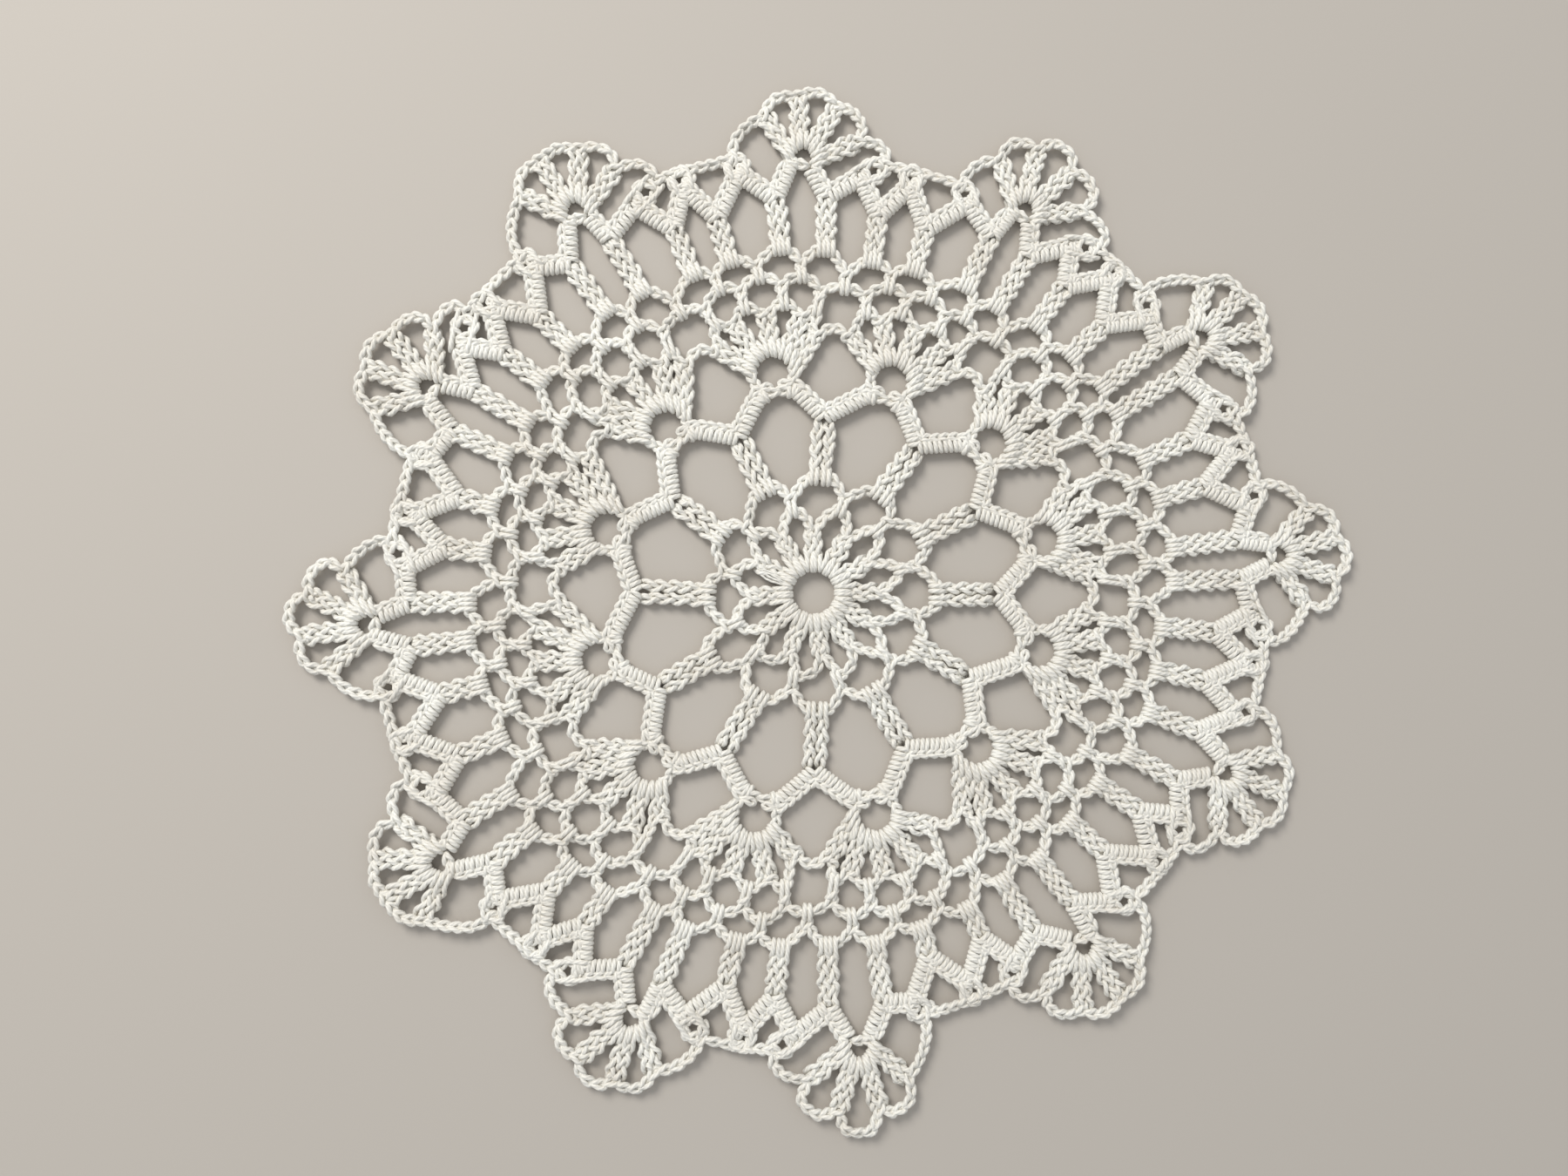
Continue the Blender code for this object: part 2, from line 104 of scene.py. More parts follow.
# The chart: what the part's own source draws its gaps from. The innermost rounds sit to one side of the
# rest: by all of ASIDE_MM up to the first of these distances, and by less and less of it up to the second.
REPEATS = 12
REPEAT_DEG = 360.0 / REPEATS
ASIDE_MM = (-1.3, 0.1)
ASIDE_REACH_MM = (9.0, 17.0)
SHELL_EDGE_DEG = 3.8
SHELL_EDGE_MM = 0.7
SHELL_HOOK_DEG = (-10.0, -4.4, 2.2, 9.0)
SHELL_HOOK_MM = (9.0, 10.4, 10.8, 9.6)
RING_FOOT_DEG = 5.2
RING_FOOT_MM = 2.9
HOOK_SHARE = 0.62
LOOP_PEAK_BELOW_NET_MM = (4.7, 3.4, 2.8, 3.1)
NET_HOOK_MM = 1.6
BAR_BASE_MM = (0.7, 1.2, 0.6, 0.4)
BAR_TOP_BELOW_FAN_MM = 6.2
BAR_TOP_BELOW_LINE_MM = {2: 9.0, 3: 8.6}
ARCH_PEAK_BELOW_LINE_MM = 3.0
ARCH_PEAK_TURN_DEG = (0.1, 0.0, -0.7)
LINE_BELOW_EDGE_MM = 0.7
FAN_FOOT_DEG = (9.1, 11.0)
FAN_GROUP_DEG = (59.0, 19.0, -19.0, -59.0)
FAN_GROUP_MM = (8.8, 9.6, 9.6, 8.8)
FAN_PEAK_DEG = (37.0, 0.0, -40.0)
FAN_PEAK_SHARE = (0.96, 1.0, 1.02)
FAN_SIDE_MM = 11.4
FAN_LOOP_TURN_DEG = 10.0
FAN_LOOP_DROP_MM = 0.3
CHAIN_MM = 1.8
ARC_RISE_MM = 4.2
ARC_STEPS = (0.3, 0.6, 0.85)

# One row for each repeat. petal, knot, spoke, ring, arch, the four bars and fan are degrees from the repeat's
# own start. hub_mm, valley_mm, ring_mm, arch_mm, net_mm, fan_mm and line_mm are distances from the
# centre. lean is how far the fan tips clockwise, in degrees, and fan_long is its length.
Repeat = namedtuple(
    "Repeat",
    "petal knot spoke hub_mm valley_mm ring ring_mm arch arch_mm"
    " bar_1 bar_2 bar_3 bar_4 net_mm fan fan_mm lean fan_long line_mm",
)
UNEVEN = tuple(Repeat(*row) for row in (
    (14, 16, -0.5, 17.7, 27.4, 13.7, 35.2, 0, 42.3, 1.9, 7.4, 15.6, 22.6, 54.3, 4.8, 72, 7, 11.8, 71.3),
    (14.5, 16.5, -0.5, 17.7, 27.4, 11.6, 35, -3, 42.3, 1.3, 6.1, 13.5, 21.4, 53.5, 3.9, 72, 8, 11.5, 70),
    (14, 15, -1, 17.7, 27.4, 11.8, 34.5, -5, 41.3, -1.6, 4.5, 13.9, 21.3, 51.8, 1.9, 68, 3, 12.5, 68),
    (17, 17.5, 1, 17.8, 27.4, 12.5, 34.8, -2.6, 41, -0.8, 6.6, 15.5, 22, 52.6, 2.3, 67.8, 17, 11.2, 69.2),
    (15, 18, -0.5, 18.1, 27.4, 13.2, 34.8, -3, 41.8, 0.8, 7.4, 15.5, 22.9, 53.3, 2.7, 69.8, 16, 10.9, 69.5),
    (17, 17.5, 0, 18, 27.2, 13.4, 34.2, -4.2, 42, -0.2, 6.3, 15.2, 23.1, 51.3, 2.4, 67.5, 9, 11.5, 66),
    (20, 19.5, 0.5, 17.5, 28.6, 16.3, 35.5, -2, 41, 1.3, 7.4, 14.8, 24, 52.8, 3.9, 68.7, 13, 12.3, 68.5),
    (22, 12.5, 0, 19.6, 28.9, 14.8, 36.8, -0.3, 43.3, 2.3, 9, 17.1, 24.2, 55.3, 5, 70, 20, 10.8, 70),
    (21, 13, -2.5, 18.6, 28.7, 13, 35.4, -2.3, 42.8, 1.8, 7.4, 16, 23.1, 53.5, 5.5, 70, 10, 11.8, 70),
    (20.5, 12, -2.7, 17.8, 27.4, 13.5, 34.7, -2.3, 41.2, 0.8, 8.5, 16.3, 24.8, 52.6, 4.5, 69, 5, 13.3, 66.5),
    (17.5, 16.5, -2.5, 17, 27, 15.2, 33.6, -1, 40.3, 2, 9, 17.4, 25.5, 51.3, 6.5, 67.3, 20, 11.4, 68),
    (17, 17, 0.5, 17, 26.4, 15.3, 34.7, 0, 41.5, 2.3, 10, 17.1, 24.4, 52.9, 6, 68.5, 15, 11.5, 70.3),
))

# The stitches between the chart's points.
CENTRE_FOOT_MM = 4.5
CLUSTER_TOP_MM = 9.3
CLUSTER_HALF_MM = 0.55
FIRST_LOOP_MM = 11.9
FIRST_APEX_MM = 13.3
HUB_FOOT_MM = 15.1
HUB_SIDE_DEG = 5.5
SPOKE_TOP_IN_MM = 1.2
SPOKE_APART_MM = 1.85
CORD_END_DEG = 2.4
SHELL_RING_MM = 3.7
SHELL_FEET_DEG = (-101.0, 76.0)
SHELL_GROUPS = 5
SHELL_DIP_MM = 1.3
HEAD_IN_MM = 0.4
PICOT_MM = 1.5
KNOT_APART_MM = 1.25

# The loose end of the thread by the centre ring: two of its plies, as (x, y, up) from the chart's centre.
LOOSE_PLIES_MM = (
    (
        (-5.4, 1.1, 0.3), (-6.6, 1.5, 0.8), (-8.2, 2.0, 0.6), (-9.3, 2.8, 0.3), (-9.6, 3.5, 0.3),
        (-8.7, 3.6, 0.5), (-7.3, 2.9, 0.8), (-6.0, 2.1, 0.8), (-5.2, 1.6, 0.3),
    ),
    (
        (-5.5, 0.9, 0.2), (-6.5, 1.8, 0.9), (-7.9, 2.4, 0.7), (-8.8, 3.0, 0.3), (-9.0, 3.3, 0.3),
        (-8.2, 3.1, 0.5), (-7.2, 2.5, 0.9), (-6.1, 1.8, 0.9), (-5.3, 1.2, 0.2),
    ),
)
FAN_RING_MM = 2.5
FAN_FEET_DEG = (98.0, -98.0)


def uneven(number):
    """The row of a repeat, counted round past either end."""
    return UNEVEN[number % REPEATS]


def toward(degrees, length):
    """The arrow of this length at an angle from +X."""
    angle = math.radians(degrees)
    return length * np.array((math.cos(angle), math.sin(angle)))


def place(number, degrees, radius):
    """The point at an angle from a repeat's start and a distance from the centre."""
    inner, outer = ASIDE_REACH_MM
    share = min(max((outer - radius) / (outer - inner), 0.0), 1.0)
    return toward(number * REPEAT_DEG + degrees, radius) + share * np.array(ASIDE_MM)


def between(a, b, share):
    """The point that lies this share of the way from a to b."""
    return a + (b - a) * share


def bar_degrees(number, bar):
    """The angle of a bar from the start of the repeat it is counted in, for bars 0 to 3 or past them."""
    turns, index = divmod(bar, 4)
    row = uneven(number + turns)
    return turns * REPEAT_DEG + (row.bar_1, row.bar_2, row.bar_3, row.bar_4)[index]


def bar_base(number, bar):
    """Where a bar stands on the looped net."""
    turns, index = divmod(bar, 4)
    row = uneven(number + turns)
    return place(number, bar_degrees(number, bar), row.net_mm + BAR_BASE_MM[index])


def bar_top(number, bar):
    """Where a bar meets the knotted arches, or the ring of the fan that it carries."""
    turns, index = divmod(bar, 4)
    row = uneven(number + turns)
    if index in BAR_TOP_BELOW_LINE_MM:
        reach = row.line_mm - BAR_TOP_BELOW_LINE_MM[index]
    else:
        reach = row.fan_mm - BAR_TOP_BELOW_FAN_MM
    return place(number, bar_degrees(number, bar), reach)


def hook_degrees(number, hook):
    """The angle of a stitch that holds the first looped round on a shell, counted as the bars are."""
    turns, index = divmod(hook, 4)
    own = turns * REPEAT_DEG + uneven(number + turns).ring + SHELL_HOOK_DEG[index]
    return (own + bar_degrees(number, hook)) / 2


def loop_degrees(number, loop):
    """The angle of a loop's peak in the first looped round: loop n lies between bars n - 1 and n."""
    over = (bar_degrees(number, loop - 1) + bar_degrees(number, loop)) / 2
    under = (hook_degrees(number, loop - 1) + hook_degrees(number, loop)) / 2
    return (over + under) / 2


def loop_peak(number, loop, height=0.0):
    """The peak of a loop of the first looped round, or a point this much further out."""
    turns, index = divmod(loop, 4)
    reach = uneven(number + turns).net_mm
    if index == 0:
        reach = (reach + uneven(number + turns - 1).net_mm) / 2
    return place(number, loop_degrees(number, loop), reach - LOOP_PEAK_BELOW_NET_MM[index] + height)


def shell_hook(number, hook):
    """The foot of a stitch of the first looped round on a shell: hooks 0 to 3, clockwise end first."""
    turns, index = divmod(hook, 4)
    reach = uneven(number + turns).ring_mm + SHELL_HOOK_MM[index]
    return place(number, hook_degrees(number, hook), reach)


def hook_top(number, hook):
    """The top of that stitch, where the two loops beside it meet."""
    peaks = between(loop_peak(number, hook), loop_peak(number, hook + 1), 0.5)
    return between(shell_hook(number, hook), peaks, HOOK_SHARE)


def shell_edge(number, side):
    """The shell's outer corner beside the arch over spoke number: side is 1 anticlockwise of the arch."""
    row = uneven(number)
    return place(number, row.arch + side * SHELL_EDGE_DEG, row.arch_mm - SHELL_EDGE_MM)


def valley(number, height=0.0):
    """Where the two thick cords meet on a spoke, or a point this much further out."""
    row = uneven(number)
    return place(number, (row.spoke + row.arch) / 2, row.valley_mm + height)


def ring_foot(number, side):
    """Where a thick cord reaches the foot of a shell's ring."""
    row = uneven(number)
    return place(number, row.ring + side * RING_FOOT_DEG, row.ring_mm - RING_FOOT_MM)


def ring_point(number, degrees, distance):
    """A point round a shell's ring: 0 degrees is straight out from the doily's centre."""
    row = uneven(number)
    return place(number, row.ring, row.ring_mm) + toward(number * REPEAT_DEG + row.ring + degrees, distance)


def arch_peak(number, arch):
    """The peak of a knotted arch: arches 0 to 2 stand between bars 1 and 2, 2 and 3, 3 and 4."""
    degrees = (bar_degrees(number, arch + 1) + bar_degrees(number, arch + 2)) / 2 + ARCH_PEAK_TURN_DEG[arch]
    return place(number, degrees, uneven(number).line_mm - ARCH_PEAK_BELOW_LINE_MM)


def knot(number, arch):
    """The knot over an arch: those beside a fan lean away from it."""
    row = uneven(number)
    reach = row.line_mm - LINE_BELOW_EDGE_MM
    if arch == 0:
        return place(number, row.fan + FAN_FOOT_DEG[0], reach)
    if arch == 1:
        return place(number, (row.bar_3 + row.bar_4) / 2, reach)
    return place(number + 1, uneven(number + 1).fan - FAN_FOOT_DEG[1], reach)


def fan_point(number, degrees, distance):
    """A point of a fan, by its angle from the fan's axis and its distance from the fan's ring."""
    row = uneven(number)
    angle = number * REPEAT_DEG + row.fan - row.lean + degrees
    return place(number, row.fan, row.fan_mm) + toward(angle, distance)


def fan_tip(number, group, height=0.0):
    """The outer end of one of a fan's four groups, anticlockwise side first."""
    return fan_point(number, FAN_GROUP_DEG[group], FAN_GROUP_MM[group] + height)


def fan_loop(number, loop):
    """The three points of a fan's loop, from the tip on its anticlockwise side to the other."""
    length = uneven(number).fan_long
    if loop != 1:
        length = (length + FAN_SIDE_MM) / 2
    reach = (length - CHAIN_MM / 2) * FAN_PEAK_SHARE[loop]
    middle = FAN_PEAK_DEG[loop]
    return [
        fan_point(number, middle + FAN_LOOP_TURN_DEG, reach - FAN_LOOP_DROP_MM),
        fan_point(number, middle, reach),
        fan_point(number, middle - FAN_LOOP_TURN_DEG, reach - FAN_LOOP_DROP_MM),
    ]


def side_arc(number, side):
    """The points of the arc from a fan's outer tip to the knot beside it; side 1 is anticlockwise."""
    tip = fan_tip(number, 0 if side > 0 else 3)
    foot = knot(number, 0) if side > 0 else knot(number - 1, 2)
    corner = foot * (1 + ARC_RISE_MM / np.linalg.norm(foot))
    return [between(between(tip, corner, step), between(corner, foot, step), step) for step in ARC_STEPS]


def rounded(points, parts=6):
    """A smooth curve through these points, with this many steps between each two."""
    points = np.asarray(points, float)
    padded = np.vstack([2 * points[0] - points[1], points, 2 * points[-1] - points[-2]])
    p0, p1, p2, p3 = padded[:-3], padded[1:-2], padded[2:-1], padded[3:]
    t = (np.arange(parts) / parts)[None, :, None]
    p0, p1, p2, p3 = (p[:, None, :] for p in (p0, p1, p2, p3))
    curve = 0.5 * (
        2 * p1 + (p2 - p0) * t + (2 * p0 - 5 * p1 + 4 * p2 - p3) * t**2 + (3 * p1 - p0 - 3 * p2 + p3) * t**3
    )
    return np.vstack([curve.reshape(-1, points.shape[1]), points[-1:]])


def distances(points):
    """How far along the line each of its points lies."""
    steps = np.linalg.norm(np.diff(points, axis=0), axis=1)
    return np.concatenate([[0.0], np.cumsum(steps)])


def even_steps(points, step):
    """The same line with points at even distances of about step."""
    at = distances(points)
    wanted = np.linspace(0.0, at[-1], max(2, round(at[-1] / step) + 1))
    return np.stack([np.interp(wanted, at, points[:, axis]) for axis in range(points.shape[1])], axis=1)


def bend_steps(points, bend):
    """The same line with a point at about each THREAD_STEP_MM, and more where it bends, by this angle."""
    steps = np.diff(points, axis=0)
    lengths = np.linalg.norm(steps, axis=1)
    heading = steps / np.maximum(lengths, 1e-9)[:, None]
    turns = np.degrees(np.arccos(np.clip((heading[:-1] * heading[1:]).sum(axis=1), -1.0, 1.0)))
    turning = (np.append(turns, 0.0) + np.insert(turns, 0, 0.0)) / 2
    at = np.insert(np.cumsum(lengths / THREAD_STEP_MM + turning / bend), 0, 0.0)
    wanted = np.linspace(0.0, at[-1], max(2, round(at[-1]) + 1))
    return np.stack([np.interp(wanted, at, points[:, axis]) for axis in range(points.shape[1])], axis=1)


class Track:
    """A flat curve that stitches follow. along is the distance on it, and across is to its left."""

    reach = 0.7

    def __init__(self, points):
        self.points = even_steps(np.asarray(points, float), 0.2)
        self.at = distances(self.points)
        self.length = self.at[-1]

    def spot(self, along):
        """The curve's own points at these distances."""
        return np.stack([np.interp(along, self.at, self.points[:, axis]) for axis in (0, 1)], axis=1)

    def lay(self, rows):
        """Rows of (along, across, up) as points in space."""
        rows = np.asarray(rows, float)
        along = np.clip(rows[:, 0], 0.0, self.length)
        ahead = self.spot(along + self.reach)
        behind = self.spot(along - self.reach)
        heading = ahead - behind
        heading /= np.maximum(np.linalg.norm(heading, axis=1, keepdims=True), 1e-9)
        left = np.stack([-heading[:, 1], heading[:, 0]], axis=1)
        past = rows[:, 0] - along
        flat = self.spot(along) + heading * past[:, None] + left * rows[:, 1:2]
        return np.column_stack([flat, rows[:, 2]])


def rolled(rows, phase):
    """Stitches that roll slowly from side to side about their own line."""
    angle = math.radians(CHAIN_ROLL_DEG) * np.sin(2 * math.pi * rows[:, 0] / CHAIN_ROLL_MM + phase)
    across = rows[:, 1] * np.cos(angle) - rows[:, 2] * np.sin(angle)
    up = rows[:, 1] * np.sin(angle) + rows[:, 2] * np.cos(angle)
    return np.column_stack([rows[:, 0], across, up])


def chain_rows(start, end, pitch, half, middle=0.0):
    """The thread's path in a row of chain stitches."""
    count = max(1, round((end - start) / pitch))
    pitch = (end - start) / count
    path = np.array(CHAIN_PATH)
    rows = np.concatenate([path + (number, 0, 0) for number in range(count)])
    return np.column_stack([
        start + rows[:, 0] * pitch, middle + rows[:, 1] * half, rows[:, 2] * THREAD_MM,
    ])


def chain(track, rng):
    """A chain that follows the whole track."""
    rows = chain_rows(0.0, track.length, CHAIN_PITCH_MM, CHAIN_HALF_MM)
    return [track.lay(rolled(rows, rng.uniform(0, 2 * math.pi)))]


def chains(tracks, rng):
    """Chains from corner to corner, as one thread."""
    rows = [chain(track, rng)[0] for track in tracks]
    return [np.vstack(rows)]


def covered(track, side):
    """Single crochets over a chain along the track, with their heads on this side: 1 is left."""
    turns = max(2, round(track.length / RIDGE_PITCH_MM))
    steps = np.arange(turns * RIDGE_POINTS + 1) / RIDGE_POINTS
    angle = 2 * math.pi * steps
    outward = np.cos(angle)
    pull = RIDGE_PULL_MM * np.where(np.round(steps) % 2, 1, -1) * (1 + outward) / 2
    across = RIDGE_MIDDLE_MM + RIDGE_HALF_MM * outward
    along = steps * track.length / turns + pull
    ridges = np.column_stack([along, side * across, RIDGE_UP_MM * np.sin(angle)])
    heads = chain_rows(0.0, track.length, HEAD_PITCH_MM, HEAD_HALF_MM, side * HEAD_ACROSS_MM)
    heads[:, 2] += HEAD_UP_MM
    return [track.lay(ridges), track.lay(heads)]


def post(foot, top, rng):
    """A tall stitch from what it is worked into to the line that runs over its top."""
    track = Track([foot, top])
    length = track.length
    bump = PLAIT_BUMP_MM * rng.uniform(0.9, 1.1)
    at = np.arange(PLAIT_FROM_MM, length - PLAIT_STEP_MM / 2, PLAIT_STEP_MM)
    strands = []
    for part, side in enumerate((-1, 1, 0)):
        angle = 2 * math.pi * ((at - PLAIT_FROM_MM) / (3 * bump) + part / 3 - 1 / 6)
        half = PLAIT_HALF_MM * rng.uniform(0.88, 1.08)
        across = half * (np.sin(angle) - PLAIT_KNOB * np.sin(3 * angle))
        plait = np.column_stack([at, across, PLAIT_UP_MM * np.sin(2 * angle)])
        plait += rng.normal(0.0, PLAIT_ROUGH_MM, plait.shape)
        apart = side * LEG_APART_MM
        if side:
            rows = [
                (0.9, apart * 0.8, -0.55), (-0.3, apart, -WRAP_UP_MM), (-WRAP_IN_MM, apart, -0.3),
                (-WRAP_IN_MM, apart, 0.3), (-0.3, apart, WRAP_UP_MM), (0.8, apart, 0.5),
            ]
        else:
            rows = [(0.3, 0.0, -0.3)]
        last = (length + 0.4, plait[-1][1] * 0.7, -0.6)
        strands.append(track.lay(np.vstack([rows, plait, last])))
    return strands


def pair(foot, top, rng, across=None, top_apart=POST_APART_MM, foot_apart=POST_APART_MM):
    """Two tall stitches side by side."""
    heading = (top - foot) / np.linalg.norm(top - foot)
    left = np.array((-heading[1], heading[0])) if across is None else across
    strands = []
    for side in (-1, 1):
        strands += post(foot + left * side * foot_apart / 2, top + left * side * top_apart / 2, rng)
    return strands


def hook(foot, top, legs=LEG_APART_MM):
    """A single crochet that holds a loop on the line below it, with its legs this far from its middle."""
    track = Track([foot, top])
    strands = []
    for side in (-1, 1):
        apart = side * legs
        strands.append(track.lay([
            (0.8, apart * 0.6, -0.5), (-0.3, apart, -WRAP_UP_MM), (-WRAP_IN_MM, apart, -0.3),
            (-WRAP_IN_MM, apart, 0.3), (-0.3, apart, WRAP_UP_MM), (0.7, apart * 1.1, 0.55),
            (track.length - 0.4, apart * 1.1, 0.2), (track.length + 0.2, apart * 0.6, -0.6),
        ]))
    if legs == LEG_APART_MM and track.length > 2.0:
        strands.append(track.lay(np.array(TIE_PATH) + (track.length - 1.1, 0, 0)))
    return strands


def arc(a, peak, b):
    """A loop's track from a to b with its peak here."""
    control = 2 * peak - (a + b) / 2
    steps = np.linspace(0.0, 1.0, 13)[:, None]
    return Track((1 - steps) ** 2 * a + 2 * steps * (1 - steps) * control + steps**2 * b)


def cluster_degrees(number):
    """The angle of the cluster that stands between two petals."""
    return (uneven(number - 1).petal - REPEAT_DEG + uneven(number).petal) / 2


def centre_rounds(rng):
    """The clusters round the centre ring, the loops over them and the spokes."""
    strands = []
    first, second = [], []
    for number in range(REPEATS):
        row, before = uneven(number), uneven(number - 1)
        turned = cluster_degrees(number)
        cluster = place(number, turned, CLUSTER_TOP_MM)
        for side in (-1, 1):
            foot = place(number, turned + side * REPEAT_DEG / 4, CENTRE_FOOT_MM)
            sideways = toward(number * REPEAT_DEG + turned + 90, side * CLUSTER_HALF_MM)
            strands += post(foot, cluster + sideways, rng)
        following = place(number + 1, cluster_degrees(number + 1), CLUSTER_TOP_MM)
        low = (turned + row.petal) / 2
        high = (cluster_degrees(number + 1) + REPEAT_DEG + row.petal) / 2
        apex = place(number, row.knot, FIRST_APEX_MM)
        first.append(Track(rounded([
            cluster, place(number, low, FIRST_LOOP_MM), apex, place(number, high, FIRST_LOOP_MM), following,
        ])))
        knee = place(number, row.knot, HUB_FOOT_MM)
        strands += hook(apex, knee)
        second.append(Track(rounded([
            place(number - 1, before.knot, HUB_FOOT_MM),
            place(number, row.spoke - HUB_SIDE_DEG, row.hub_mm),
            place(number, row.spoke + HUB_SIDE_DEG, row.hub_mm),
            knee,
        ])))
        foot, top = place(number, row.spoke, row.hub_mm), valley(number, -SPOKE_TOP_IN_MM)
        strands += pair(foot, top, rng, top_apart=SPOKE_APART_MM, foot_apart=SPOKE_APART_MM)
    return strands + chains(first, rng) + chains(second, rng)


def ring_round(rng):
    """The thick cords that zigzag from spoke to spoke, and the rings at their peaks."""
    strands = []
    for number in range(REPEATS):
        row = uneven(number)
        for side in (-1, 1):
            start = valley(number if side < 0 else number + 1)
            foot = ring_foot(number, side)
            end = place(number, row.ring + side * CORD_END_DEG, row.ring_mm - RING_FOOT_MM)
            strands += covered(Track([start, foot, end]), side)
            rise = [ring_point(number, side * turn, 3.3) for turn in (140, 115, 90)]
            strands += chain(Track(rounded(rise)), rng)
        strands += chain(Track([ring_foot(number, -1), ring_foot(number, 1)]), rng)
    return strands


def shell_tops(number):
    """The tops of a shell's five groups, clockwise end first."""
    tops = [shell_edge(number, 1)]
    for hook_number in (1, 2, 3):
        middle = (shell_hook(number, hook_number - 1) + shell_hook(number, hook_number)) / 2
        tops.append(middle * (1 - SHELL_DIP_MM / np.linalg.norm(middle)))
    return tops + [shell_edge(number + 1, -1)]


def shell_heads(number):
    """The heads of a shell's ten tall stitches, two to a group, clockwise end first."""
    ring = ring_point(number, 0.0, 0.0)
    heads = []
    for top in shell_tops(number):
        heading = (top - ring) / np.linalg.norm(top - ring)
        left = np.array((-heading[1], heading[0]))
        heads += [top - left * POST_APART_MM / 2, top + left * POST_APART_MM / 2]
    return heads


def shell_round(rng):
    """A shell of five groups on each ring, with an arch from shell to shell."""
    strands, tracks = [], []
    feet = np.linspace(*SHELL_FEET_DEG, 2 * SHELL_GROUPS)
    for number in range(REPEATS):
        heads = shell_heads(number)
        for turn, head in zip(feet, heads):
            foot = ring_point(number, turn, SHELL_RING_MM)
            strands += post(foot, head - HEAD_IN_MM * (head - foot) / np.linalg.norm(head - foot), rng)
        for index in range(SHELL_GROUPS):
            tracks.append(Track(heads[2 * index: 2 * index + 2]))
            if index < SHELL_GROUPS - 1:
                tracks.append(arc(heads[2 * index + 1], shell_hook(number, index), heads[2 * index + 2]))
        after = uneven(number + 1)
        over = place(number + 1, after.arch, after.arch_mm)
        tracks.append(arc(heads[-1], over, shell_heads(number + 1)[0]))
    return strands + chains(tracks, rng)


def net_rounds(rng):
    """The two looped rounds: a loop between each two bars, and over those a loop under each bar."""
    strands, lower, upper = [], [], []
    for number in range(REPEATS):
        for index in range(4):
            top = hook_top(number, index)
            strands += hook(shell_hook(number, index), top)
            lower.append(arc(hook_top(number, index - 1), loop_peak(number, index), top))
            start = loop_peak(number, index, NET_HOOK_MM)
            strands += hook(loop_peak(number, index), start)
            end = loop_peak(number, index + 1, NET_HOOK_MM)
            upper.append(arc(start, bar_base(number, index), end))
    return strands + chains(lower, rng) + chains(upper, rng)


def bar_round(rng):
    """The pairs of tall stitches."""
    strands = []
    for number in range(REPEATS):
        for index in range(4):
            foot, top = bar_base(number, index), bar_top(number, index)
            strands += pair(foot, between(foot, top, 0.96), rng)
    return strands


def arch_round(rng):
    """The knotted arches from bar to bar, and the ring that carries each fan."""
    strands = []
    for number in range(REPEATS):
        ring = [fan_point(number, side * turn, 2.3) for side, turn in ((-1, 130), (1, 130))]
        strands += covered(Track([bar_top(number, 0), ring[0]]), -1)
        strands += covered(Track([ring[1], bar_top(number, 1)]), -1)
        around = [fan_point(number, turn, 2.3) for turn in (-130, -90, -45, 0, 45, 90, 130)]
        strands += chain(Track(rounded(around)), rng)
        strands += chain(Track([fan_point(number, -130, 2.0), fan_point(number, 130, 2.0)]), rng)
        for arch in range(3):
            peak = arch_peak(number, arch)
            strands += covered(Track([bar_top(number, arch + 1), peak]), -1)
            strands += covered(Track([peak, bar_top(number, arch + 2)]), -1)
            picot = between(peak, knot(number, arch), 0.5)
            turns = np.radians(np.arange(0, 361, 30))
            strands += chain(Track(picot + PICOT_MM * np.column_stack([np.cos(turns), np.sin(turns)])), rng)
    return strands


def fan_round(rng):
    """The fans and the line of chains from knot to knot between them."""
    strands, tracks = [], []
    feet = np.linspace(*FAN_FEET_DEG, 8)
    for number in range(REPEATS):
        for group in range(4):
            top = fan_tip(number, group, -0.35)
            centre = fan_point(number, 0.0, 0.0)
            heading = (top - centre) / np.linalg.norm(top - centre)
            left = np.array((-heading[1], heading[0]))
            for side in (0, 1):
                foot = fan_point(number, feet[2 * group + side], FAN_RING_MM)
                strands += post(foot, top + left * (0.5 - side) * POST_APART_MM, rng)
        start = knot(number - 1, 2)
        tracks.append(Track(rounded([start] + side_arc(number, -1)[::-1] + [fan_tip(number, 3)])))
        for loop in (2, 1, 0):
            points = [fan_tip(number, loop + 1)] + fan_loop(number, loop)[::-1] + [fan_tip(number, loop)]
            tracks.append(Track(rounded(points)))
        tracks.append(Track(rounded([fan_tip(number, 0)] + side_arc(number, 1) + [knot(number, 0)])))
        for arch in range(3):
            strands += hook(arch_peak(number, arch), knot(number, arch), KNOT_APART_MM)
            if arch:
                tracks.append(Track([knot(number, arch - 1), knot(number, arch)]))
    return strands + chains(tracks, rng)


def lift(points):
    """How far the doily stands off its surface at each point, in long soft waves."""
    x, y = points[:, 0], points[:, 1]
    wave = np.sin(x / 17 + 1.3 * np.sin(y / 23)) + np.sin(y / 14 + 0.8 * np.sin(x / 19 + 2)) + 2
    return LIFT_MM * wave / 2


